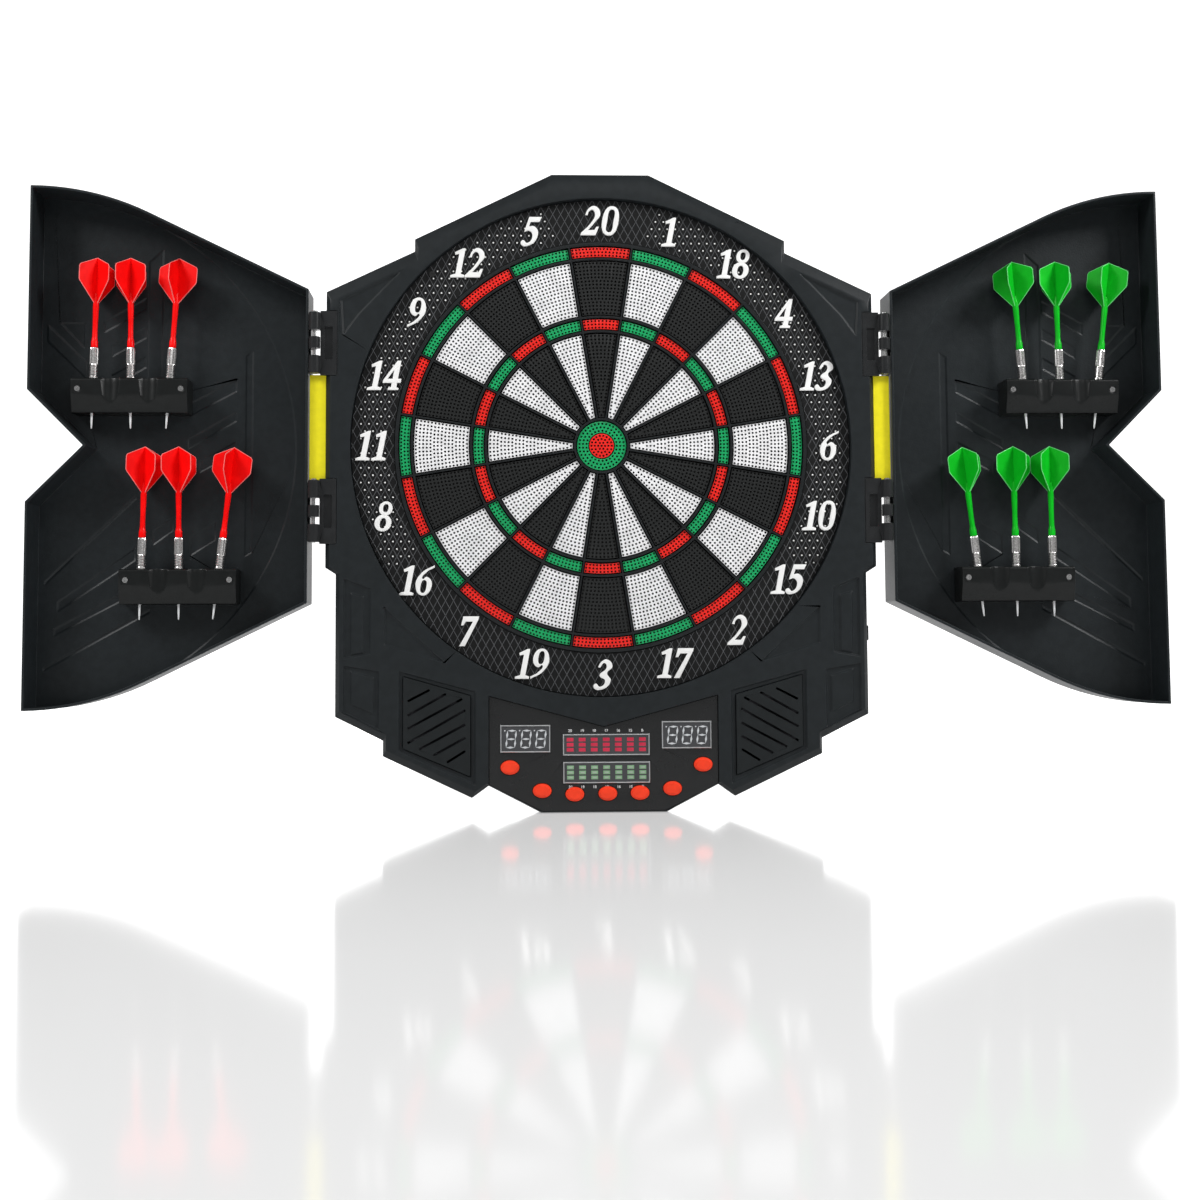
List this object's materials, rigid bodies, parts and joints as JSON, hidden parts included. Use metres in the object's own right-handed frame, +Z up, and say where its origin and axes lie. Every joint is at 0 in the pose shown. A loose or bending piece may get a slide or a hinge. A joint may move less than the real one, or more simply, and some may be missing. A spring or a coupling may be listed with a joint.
{
  "type": "electronic dartboard",
  "caption": "Wall-hung electronic dartboard with hinged storage doors, a soft-tip target, score displays, push buttons, speaker grilles and darts in holders.",
  "frame": {"origin": "on the wall plane, behind the centre of the bull", "axes": "+X to the viewer's right along the open doors, +Y out of the back into the wall, +Z up"},
  "size_m": [0.965, 0.0452, 0.5429],
  "materials": {
    "housing_black": "fine-grained satin",
    "cover_black": "fine-grained matte",
    "door_black": "fine-grained satin",
    "ring_black": "matte with a raised mesh",
    "numeral_white": "satin",
    "spider_black": "satin",
    "foam_grey": "closed-cell foam",
    "membrane_film": "printed film",
    "backing_grey": "matte",
    "segment_red": "satin, small tip holes",
    "segment_green": "satin, small tip holes",
    "segment_black": "satin, small tip holes",
    "segment_white": "satin, small tip holes",
    "fascia_gloss": "polished",
    "frame_silver": "satin",
    "display_dark": "tinted window, unlit",
    "display_red": "tinted window, unlit",
    "display_green": "tinted window, unlit",
    "button_red": "gloss",
    "switch_black": "matte",
    "board_green": "solder mask",
    "grille_black": "fine-grained satin",
    "speaker_metal": "satin",
    "socket_black": "matte",
    "hinge_black": "satin",
    "screw_black": "blackened steel",
    "bright_steel": "bright",
    "strip_yellow": "satin",
    "holder_black": "smooth satin",
    "dart_red": "gloss flight and shaft",
    "dart_green": "gloss flight and shaft"
  },
  "bodies": {
    "cabinet": {"front_housing": "housing_black", "rear_cover": "cover_black", "rear_screws": "bright_steel", "catch_ring": "ring_black", "ring_screws": "screw_black", "numerals": "numeral_white", "spider": "spider_black", "foam_sheet": "foam_grey", "switch_membrane": "membrane_film", "backing_plate": "backing_grey", "control_fascia": "fascia_gloss", "display_frames": "frame_silver", "score_displays": "display_dark", "cricket_display_red": "display_red", "cricket_display_green": "display_green", "button_switches": "switch_black", "circuit_board": "board_green", "speaker_grilles": "grille_black", "speakers": "speaker_metal", "power_socket": "socket_black", "hinge_brackets": "hinge_black", "hinge_pins": "bright_steel", "gap_strips": "strip_yellow"},
    "door_left": {"door_left": "door_black", "hinge_leaves_left": "hinge_black", "dart_holders_left": "holder_black", "holder_screws_left": "bright_steel"},
    "door_right": {"door_right": "door_black", "hinge_leaves_right": "hinge_black", "dart_holders_right": "holder_black", "holder_screws_right": "bright_steel"},
    "button_1": {"button_1": "button_red"},
    "button_2": {"button_2": "button_red"},
    "button_3": {"button_3": "button_red"},
    "button_4": {"button_4": "button_red"},
    "button_5": {"button_5": "button_red"},
    "button_6": {"button_6": "button_red"},
    "button_7": {"button_7": "button_red"},
    "doubles": {"doubles_red": "segment_red", "doubles_green": "segment_green"},
    "triples": {"triples_red": "segment_red", "triples_green": "segment_green"},
    "outer_singles": {"outer_singles_black": "segment_black", "outer_singles_white": "segment_white"},
    "inner_singles": {"inner_singles_black": "segment_black", "inner_singles_white": "segment_white"},
    "outer_bull": {"outer_bull": "segment_green"},
    "inner_bull": {"inner_bull": "segment_red"},
    "dart_left_1": {"dart_left_1": "dart_red"},
    "dart_left_2": {"dart_left_2": "dart_red"},
    "dart_left_3": {"dart_left_3": "dart_red"},
    "dart_left_4": {"dart_left_4": "dart_red"},
    "dart_left_5": {"dart_left_5": "dart_red"},
    "dart_left_6": {"dart_left_6": "dart_red"},
    "dart_right_1": {"dart_right_1": "dart_green"},
    "dart_right_2": {"dart_right_2": "dart_green"},
    "dart_right_3": {"dart_right_3": "dart_green"},
    "dart_right_4": {"dart_right_4": "dart_green"},
    "dart_right_5": {"dart_right_5": "dart_green"},
    "dart_right_6": {"dart_right_6": "dart_green"}
  },
  "joints": [
    {"name": "door_left_hinge", "type": "hinge", "parent": "cabinet", "child": "door_left", "pos_m": [-0.2428, -0.0405, 0], "axis": [0, 0, 1], "range_deg": [0, 180]},
    {"name": "door_right_hinge", "type": "hinge", "parent": "cabinet", "child": "door_right", "pos_m": [0.2428, -0.0405, 0], "axis": [0, 0, -1], "range_deg": [0, 180]},
    {"name": "button_1_press", "type": "slide", "parent": "cabinet", "child": "button_1", "axis": [0, 1, 0], "range_m": [0, 0.0015], "stiffness_N_per_m": 600},
    {"name": "button_2_press", "type": "slide", "parent": "cabinet", "child": "button_2", "axis": [0, 1, 0], "range_m": [0, 0.0015], "stiffness_N_per_m": 600},
    {"name": "button_3_press", "type": "slide", "parent": "cabinet", "child": "button_3", "axis": [0, 1, 0], "range_m": [0, 0.0015], "stiffness_N_per_m": 600},
    {"name": "button_4_press", "type": "slide", "parent": "cabinet", "child": "button_4", "axis": [0, 1, 0], "range_m": [0, 0.0015], "stiffness_N_per_m": 600},
    {"name": "button_5_press", "type": "slide", "parent": "cabinet", "child": "button_5", "axis": [0, 1, 0], "range_m": [0, 0.0015], "stiffness_N_per_m": 600},
    {"name": "button_6_press", "type": "slide", "parent": "cabinet", "child": "button_6", "axis": [0, 1, 0], "range_m": [0, 0.0015], "stiffness_N_per_m": 600},
    {"name": "button_7_press", "type": "slide", "parent": "cabinet", "child": "button_7", "axis": [0, 1, 0], "range_m": [0, 0.0015], "stiffness_N_per_m": 600},
    {"name": "doubles_press", "type": "slide", "parent": "cabinet", "child": "doubles", "axis": [0, 1, 0], "range_m": [0, 0.001], "stiffness_N_per_m": 3000},
    {"name": "triples_press", "type": "slide", "parent": "cabinet", "child": "triples", "axis": [0, 1, 0], "range_m": [0, 0.001], "stiffness_N_per_m": 3000},
    {"name": "outer_singles_press", "type": "slide", "parent": "cabinet", "child": "outer_singles", "axis": [0, 1, 0], "range_m": [0, 0.001], "stiffness_N_per_m": 3000},
    {"name": "inner_singles_press", "type": "slide", "parent": "cabinet", "child": "inner_singles", "axis": [0, 1, 0], "range_m": [0, 0.001], "stiffness_N_per_m": 3000},
    {"name": "outer_bull_press", "type": "slide", "parent": "cabinet", "child": "outer_bull", "axis": [0, 1, 0], "range_m": [0, 0.001], "stiffness_N_per_m": 3000},
    {"name": "inner_bull_press", "type": "slide", "parent": "cabinet", "child": "inner_bull", "axis": [0, 1, 0], "range_m": [0, 0.001], "stiffness_N_per_m": 3000},
    {"name": "dart_left_1_lift", "type": "slide", "parent": "door_left", "child": "dart_left_1", "axis": [0.0227, 0, 0.9997], "range_m": [0, 0.014]},
    {"name": "dart_left_2_lift", "type": "slide", "parent": "door_left", "child": "dart_left_2", "axis": [-0.0105, 0, 0.9999], "range_m": [0, 0.014]},
    {"name": "dart_left_3_lift", "type": "slide", "parent": "door_left", "child": "dart_left_3", "axis": [0.0663, 0, 0.9978], "range_m": [0, 0.014]},
    {"name": "dart_left_4_lift", "type": "slide", "parent": "door_left", "child": "dart_left_4", "axis": [0.0227, 0, 0.9997], "range_m": [0, 0.01]},
    {"name": "dart_left_5_lift", "type": "slide", "parent": "door_left", "child": "dart_left_5", "axis": [-0.0105, 0, 0.9999], "range_m": [0, 0.01]},
    {"name": "dart_left_6_lift", "type": "slide", "parent": "door_left", "child": "dart_left_6", "axis": [0.1149, 0, 0.9934], "range_m": [0, 0.01]},
    {"name": "dart_right_1_lift", "type": "slide", "parent": "door_right", "child": "dart_right_1", "axis": [0.1167, 0, 0.9932], "range_m": [0, 0.014]},
    {"name": "dart_right_2_lift", "type": "slide", "parent": "door_right", "child": "dart_right_2", "axis": [-0.0175, 0, 0.9998], "range_m": [0, 0.014]},
    {"name": "dart_right_3_lift", "type": "slide", "parent": "door_right", "child": "dart_right_3", "axis": [-0.068, 0, 0.9977], "range_m": [0, 0.014]},
    {"name": "dart_right_4_lift", "type": "slide", "parent": "door_right", "child": "dart_right_4", "axis": [-0.0052, 0, 1], "range_m": [0, 0.01]},
    {"name": "dart_right_5_lift", "type": "slide", "parent": "door_right", "child": "dart_right_5", "axis": [-0.0035, 0, 1], "range_m": [0, 0.01]},
    {"name": "dart_right_6_lift", "type": "slide", "parent": "door_right", "child": "dart_right_6", "axis": [-0.108, 0, 0.9942], "range_m": [0, 0.01]}
  ]
}
